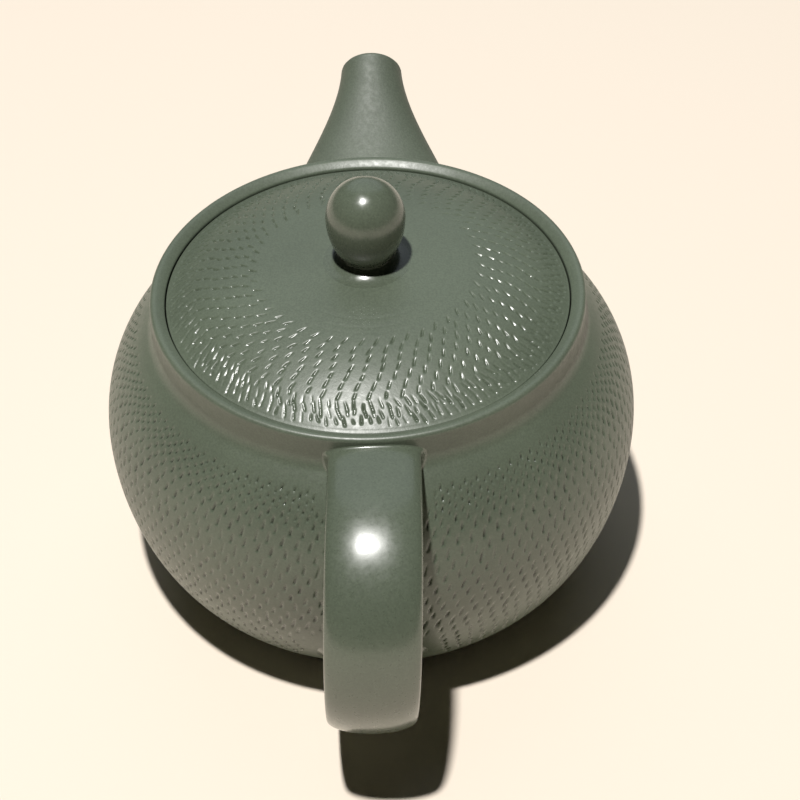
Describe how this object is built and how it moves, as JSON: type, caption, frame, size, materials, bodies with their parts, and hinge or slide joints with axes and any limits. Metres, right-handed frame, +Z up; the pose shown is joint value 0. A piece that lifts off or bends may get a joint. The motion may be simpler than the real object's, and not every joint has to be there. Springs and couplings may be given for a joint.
{
  "type": "teapot",
  "caption": "Round stoneware teapot with a strap handle opposite the spout, an inset domed lid with an egg knob, and chatter-marked clay.",
  "frame": {"origin": "centre of the flat turned base, on the surface the pot stands on", "axes": "+Z up along the pot's turning axis, +Y towards the spout, the handle on -Y"},
  "size_m": [0.1096, 0.167, 0.0942],
  "materials": {
    "clay": "satin",
    "burnished_clay": "semi-gloss"
  },
  "bodies": {
    "pot": {"body": "clay", "spout": "clay", "handle": "clay", "strainer": "clay"},
    "lid_unit": {"lid": "clay", "knob": "burnished_clay"}
  },
  "joints": [
    {"name": "lid_lift", "type": "slide", "parent": "pot", "child": "lid_unit", "axis": [0, 0, 1], "range_m": [0, 0.05]}
  ]
}
